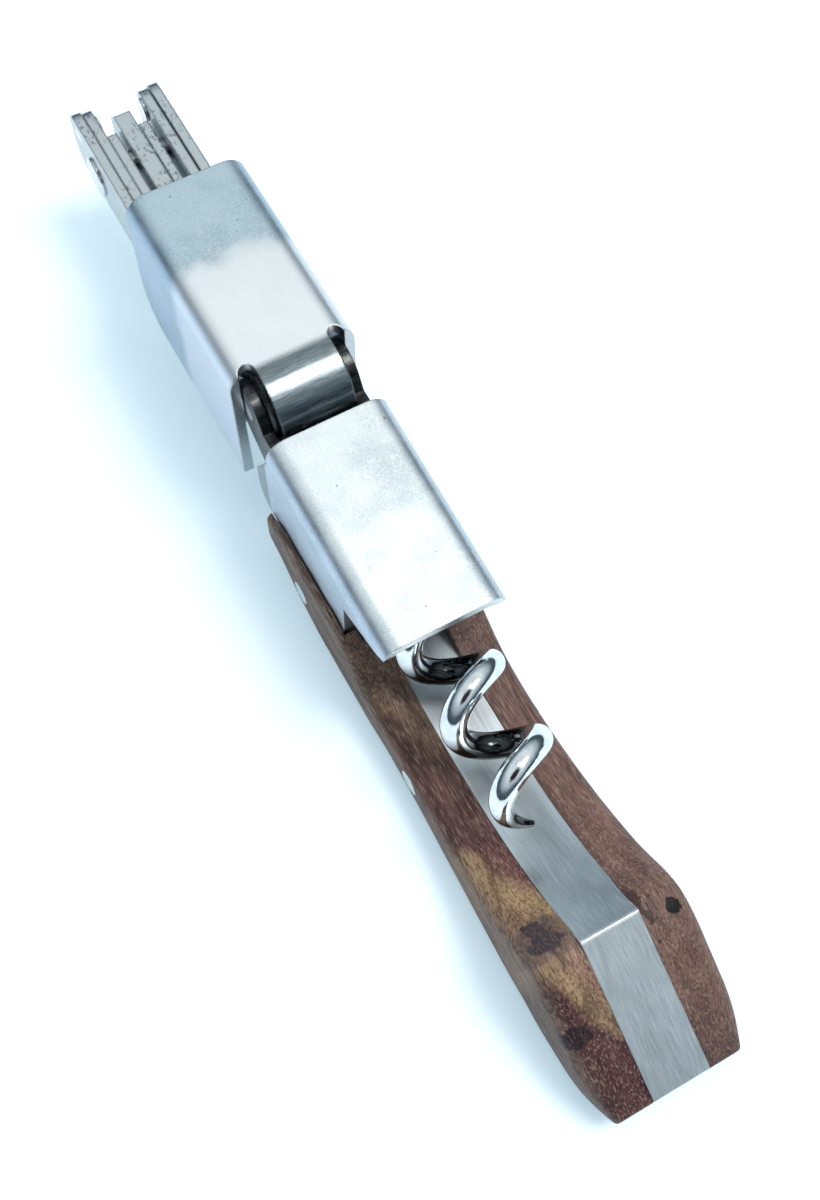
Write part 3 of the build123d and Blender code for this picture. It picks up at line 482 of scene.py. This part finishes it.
def dress_nodes():
    """Give every CAD node its material, by the record's material slot for the node."""
    finishes = {
        "spine_steel": brushed_steel(),
        "pin_steel": pin_steel(),
        "inner_steel": shade_darkened_steel(),
        "blade_steel": ground_blade(),
        "casing_steel": blasted_casing(),
        "worm_chrome": polished_wire(),
        "rack_steel": stamped_plate(),
    }
    by_node = {"scale_left": left_wood(), "scale_right": right_wood()}
    for subpart in frame["record"]["subparts"]:
        name = subpart["node"]
        piece = frame["nodes"][name]
        piece.data.materials.clear()
        piece.data.materials.append(by_node.get(name) or finishes[subpart["material_slot"]])


# ---------------------------------------------------------------- floor, light and camera

def make_floor():
    """Large pale sheet, lifted towards white for the camera but keeping the shadow."""
    half = FLOOR_HALF_SIZE
    mesh = bpy.data.meshes.new("floor")
    corners = ((-half, -half, 0), (half, -half, 0), (half, half, 0), (-half, half, 0))
    mesh.from_pydata(corners, [], [(0, 1, 2, 3)])
    floor = bpy.data.objects.new("floor", mesh)
    bpy.context.scene.collection.objects.link(floor)
    material = bpy.data.materials.new("floor_paper")
    tree = Tree(material)
    paper = tree.node("BsdfDiffuse", {"Color": PAPER_COLOUR})
    strength = seen_directly(tree, LIFT_STRENGTH)
    lift = tree.node("Emission", {"Color": LIFT_COLOUR, "Strength": strength})
    both = tree.node("AddShader", {0: paper.outputs[0], 1: lift.outputs[0]})
    tree.node("OutputMaterial", {0: both.outputs[0]})
    mesh.materials.append(material)


def seen_directly(tree, strength):
    """A strength for camera, glossy and transmission rays, and 0 for all others."""
    path = tree.node("LightPath", {})
    total = path.outputs["Is Camera Ray"]
    for kind in ("Is Glossy Ray", "Is Transmission Ray"):
        total = tree.math("MAXIMUM", total, path.outputs[kind])
    return tree.math("MULTIPLY", total, strength)


def make_world():
    """Soft studio room: pale blue ceiling, dim walls, and white for the camera."""
    world = bpy.data.worlds.new("studio")
    bpy.context.scene.world = world
    tree = Tree(world)
    direction = tree.node("TexCoord", {}).outputs["Generated"]
    walls = tree.ramp(
        tree.axis(direction, "Z"),
        (
            (0.00, (0.05, 0.07, 0.09, 1)),
            (0.28, (0.10, 0.13, 0.16, 1)),
            (0.50, (0.46, 0.56, 0.64, 1)),
            (0.74, (0.88, 0.97, 1.00, 1)),
            (1.00, (0.88, 0.97, 1.00, 1)),
        ),
    )
    toward = tree.node(
        "VectorMath", {0: direction, 1: DARK_SHAPE_DIRECTION}, operation="DOT_PRODUCT"
    )
    covered = tree.range(toward.outputs["Value"], cos(DARK_SHAPE_GONE), cos(DARK_SHAPE_FULL))
    shaded = tree.mix(covered, walls, DARK_SHAPE_COLOUR)
    room = tree.node("Background", {"Color": shaded, "Strength": ROOM_STRENGTH})
    white = tree.node("Background", {"Color": (1, 1, 1, 1), "Strength": 1.0})
    path = tree.node("LightPath", {})
    chosen = tree.node(
        "MixShader",
        {0: path.outputs["Is Camera Ray"], 1: room.outputs[0], 2: white.outputs[0]},
    )
    tree.node("OutputWorld", {0: chosen.outputs[0]})


def make_lamp(name, place, width, length, power, colour):
    """Soft rectangular lamp aimed at the middle of the tool."""
    data = bpy.data.lights.new(name, "AREA")
    data.shape = "RECTANGLE"
    data.size = width
    data.size_y = length
    data.energy = power
    data.color = colour
    lamp = bpy.data.objects.new(name, data)
    bpy.context.scene.collection.objects.link(lamp)
    lamp.location = place
    lamp.rotation_euler = (VIEW_TARGET - Vector(place)).to_track_quat("-Z", "Y").to_euler()


def make_camera():
    """Camera above the tool, turned so that the foot points to the upper left."""
    data = bpy.data.cameras.new("camera")
    data.sensor_fit = "VERTICAL"
    data.sensor_height = SENSOR_HEIGHT
    data.lens = LENS
    data.clip_start = 1 * MM
    data.clip_end = 10
    camera = bpy.data.objects.new("camera", data)
    bpy.context.scene.collection.objects.link(camera)
    back = Vector((
        cos(VIEW_ELEVATION) * cos(VIEW_AZIMUTH),
        cos(VIEW_ELEVATION) * sin(VIEW_AZIMUTH),
        sin(VIEW_ELEVATION),
    ))
    level_right = Vector((0, 0, 1)).cross(back).normalized()
    level_up = back.cross(level_right)
    right = level_right * cos(VIEW_ROLL) + level_up * sin(VIEW_ROLL)
    up = level_up * cos(VIEW_ROLL) - level_right * sin(VIEW_ROLL)
    turned = Matrix((right, up, back)).transposed().to_4x4()
    camera.matrix_world = Matrix.Translation(VIEW_TARGET + back * VIEW_DISTANCE) @ turned
    bpy.context.scene.camera = camera


bpy.context.scene.view_settings.view_transform = "Standard"
dress_nodes()
make_floor()
make_world()
make_lamp("key_lamp", (0.22, 0.30, 0.90), 0.30, 0.30, 3.9, (1.0, 0.98, 0.95))
make_lamp("strip_lamp", (0.20, 0.12, 0.85), 0.12, 0.60, 1.0, (0.97, 0.99, 1.0))
make_camera()
